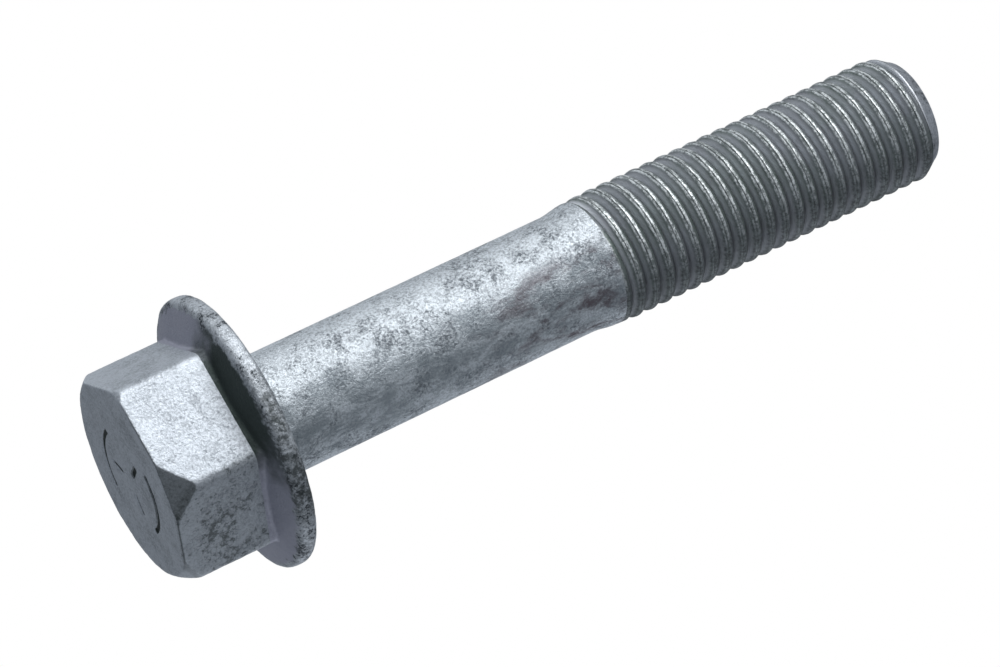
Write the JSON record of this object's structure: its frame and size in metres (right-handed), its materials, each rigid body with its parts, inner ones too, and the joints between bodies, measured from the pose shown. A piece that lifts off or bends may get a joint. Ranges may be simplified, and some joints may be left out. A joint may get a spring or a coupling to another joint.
{
  "type": "hex flange bolt",
  "caption": "Zinc coated hex flange bolt with a plain reduced shank and a coarse right-hand thread on its lower part.",
  "frame": {"origin": "centre of the flange's bearing face, on the bolt's axis", "axes": "+Z along the bolt's axis towards the top of the head, so the shank and point are below the origin; +X square to a flat of the hexagon"},
  "size_m": [0.033, 0.033, 0.1053],
  "materials": {
    "head_zinc": "mottled matt hot-dip zinc on the forged head",
    "shank_zinc": "brighter mottled zinc on the rolled shank",
    "thread_zinc": "darker zinc on the rolled thread, worn bright along the crests"
  },
  "bodies": {
    "root": {"hex_head": "head_zinc", "flange": "head_zinc", "underhead_neck": "shank_zinc", "shank": "shank_zinc", "thread_runout": "shank_zinc", "thread": "thread_zinc", "point": "thread_zinc"}
  },
  "joints": []
}
